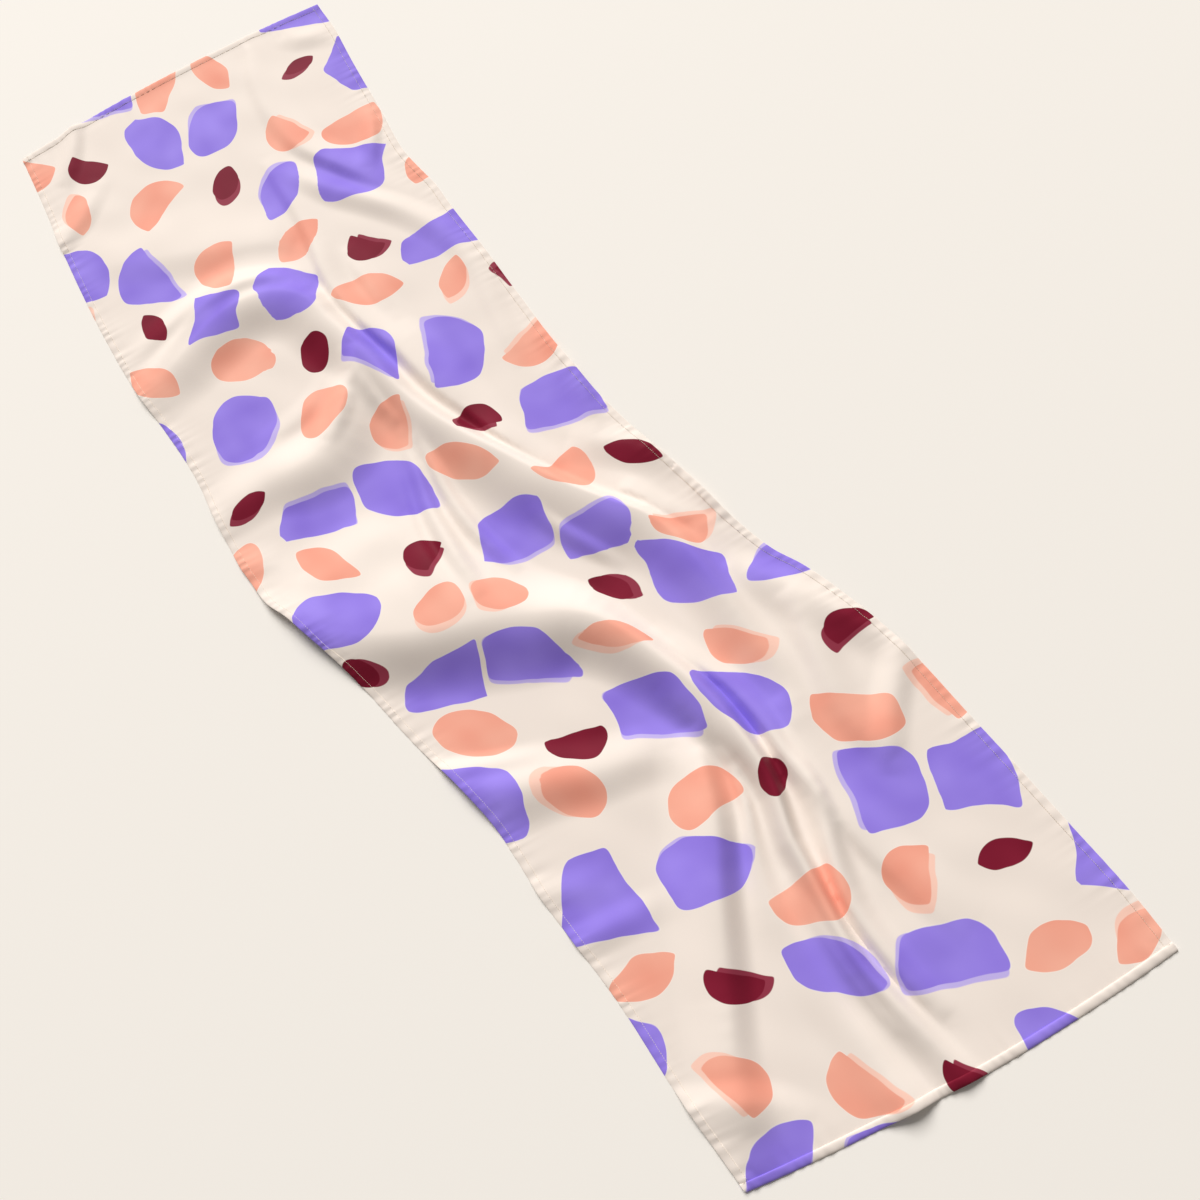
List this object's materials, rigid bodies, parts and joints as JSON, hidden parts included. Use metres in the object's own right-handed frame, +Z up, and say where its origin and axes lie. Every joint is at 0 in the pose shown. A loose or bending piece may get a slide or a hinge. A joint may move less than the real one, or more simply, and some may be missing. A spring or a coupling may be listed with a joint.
{
  "type": "stole",
  "caption": "Long narrow rectangular satin cloth with slim turned hems, laid out flat with soft slanting folds, to be worn draped over the shoulders.",
  "frame": {"origin": "middle of the bounding box, on the surface that the cloth lies on", "axes": "+Y along the length towards the far end, +X across the width to the right, +Z up from the surface to the printed face"},
  "size_m": [0.5631, 1.76, 0.0292],
  "materials": {
    "cream_satin": "printed satin, soft sheen",
    "hem_satin": "turned and stitched satin"
  },
  "bodies": {
    "root": {"cloth_panel": "cream_satin", "hem_left": "hem_satin", "hem_right": "hem_satin", "hem_near": "hem_satin", "hem_far": "hem_satin"}
  },
  "joints": []
}
